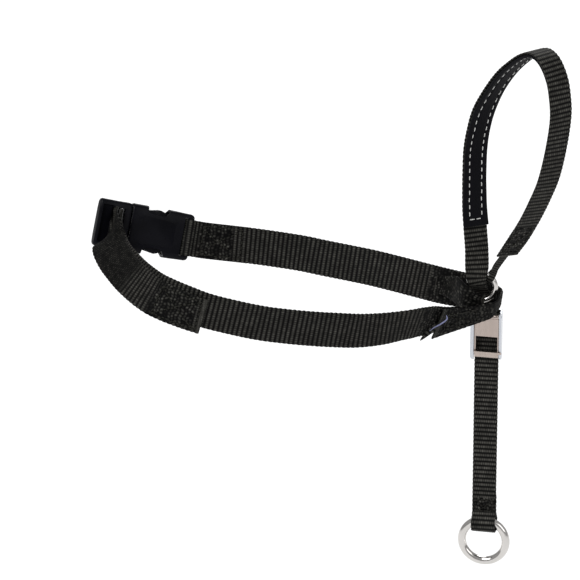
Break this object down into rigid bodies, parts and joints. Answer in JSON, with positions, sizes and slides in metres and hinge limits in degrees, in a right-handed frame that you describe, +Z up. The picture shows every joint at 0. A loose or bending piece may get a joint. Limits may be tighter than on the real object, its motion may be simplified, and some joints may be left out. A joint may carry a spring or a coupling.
{
  "type": "head halter",
  "caption": "Dog head halter with a buckled neck loop, a padded nose loop, a chin ring and a control strap with a sliding clamp and a lead ring.",
  "frame": {"origin": "the middle of the neck loop's opening, where the dog's neck passes", "axes": "+X from the neck loop's middle towards the chin ring, +Y across the neck loop away from its front strap, +Z up, against the hang of the control strap"},
  "size_m": [0.2437, 0.1086, 0.3005],
  "materials": {
    "neck_webbing": "coarse ribbed polypropylene webbing",
    "nose_webbing": "ribbed polypropylene webbing",
    "lining": "smooth soft padded tape",
    "black_thread": "bonded thread",
    "white_thread": "bonded thread",
    "buckle_plastic": "moulded acetal, satin",
    "ring_metal": "polished nickel plate",
    "clamp_metal": "satin nickel plate"
  },
  "bodies": {
    "root": {"neck_rear_strap": "neck_webbing", "neck_front_strap": "neck_webbing", "neck_front_tail": "neck_webbing", "buckle_socket": "buckle_plastic", "rear_end_stitching": "black_thread", "front_tail_stitching": "black_thread", "chin_join_stitching": "black_thread", "chin_fold": "neck_webbing"},
    "plug": {"buckle_plug_frame": "buckle_plastic", "buckle_strap_loop": "neck_webbing"},
    "upper_arm": {"upper_release_arm": "buckle_plastic"},
    "lower_arm": {"lower_release_arm": "buckle_plastic"},
    "nose": {"chin_ring": "ring_metal", "nose_strap": "nose_webbing", "ring_tape_loop": "nose_webbing", "nose_lining": "lining", "lining_stitching": "white_thread", "nose_end_stitching": "black_thread"},
    "control": {"control_strap": "nose_webbing", "control_end_stitching": "black_thread"},
    "clamp": {"clamp_frame": "clamp_metal", "clamp_pin": "clamp_metal"},
    "gate": {"clamp_gate": "clamp_metal"},
    "lead": {"lead_ring": "ring_metal"}
  },
  "joints": [
    {"name": "buckle_release", "type": "slide", "parent": "root", "child": "plug", "axis": [-0.9095, -0.2955, 0.2924], "range_m": [0, 0.025]},
    {"name": "upper_arm_flex", "type": "hinge", "parent": "plug", "child": "upper_arm", "pos_m": [-0.08118, 0.03128, 0.03166], "axis": [-0.3705, 0.8953, -0.2475], "range_deg": [0, 12.2]},
    {"name": "lower_arm_flex", "type": "hinge", "parent": "plug", "child": "lower_arm", "pos_m": [-0.08446, 0.02548, 0.01558], "axis": [0.3705, -0.8953, 0.2475], "range_deg": [0, 12.2]},
    {"name": "nose_loop_tilt", "type": "hinge", "parent": "root", "child": "nose", "pos_m": [0.0985, 0, 0.0015], "axis": [1, 0, 0], "range_deg": [-7, 7], "stiffness_Nm_per_rad": 0.12},
    {"name": "control_strap_swing", "type": "hinge", "parent": "nose", "child": "control", "pos_m": [0.102, 0.0025, -0.01], "axis": [0.9781, -0.2079, 0], "range_deg": [-6, 20]},
    {"name": "clamp_slide", "type": "slide", "parent": "control", "child": "clamp", "axis": [0, 0, -1], "range_m": [0, 0.07]},
    {"name": "clamp_gate_hinge", "type": "hinge", "parent": "clamp", "child": "gate", "pos_m": [0.10131, -0.00073, -0.0144], "axis": [-0.9781, 0.2079, 0], "range_deg": [0, 35]},
    {"name": "lead_ring_swing", "type": "hinge", "parent": "control", "child": "lead", "pos_m": [0.10215, 0.00318, -0.1333], "axis": [0.9781, -0.2079, 0], "range_deg": [-75, 75]}
  ],
  "couplings": [
    {"joint": "upper_arm_flex", "follows": "buckle_release", "rad_per_m": 8.5},
    {"joint": "lower_arm_flex", "follows": "buckle_release", "rad_per_m": 8.5}
  ]
}
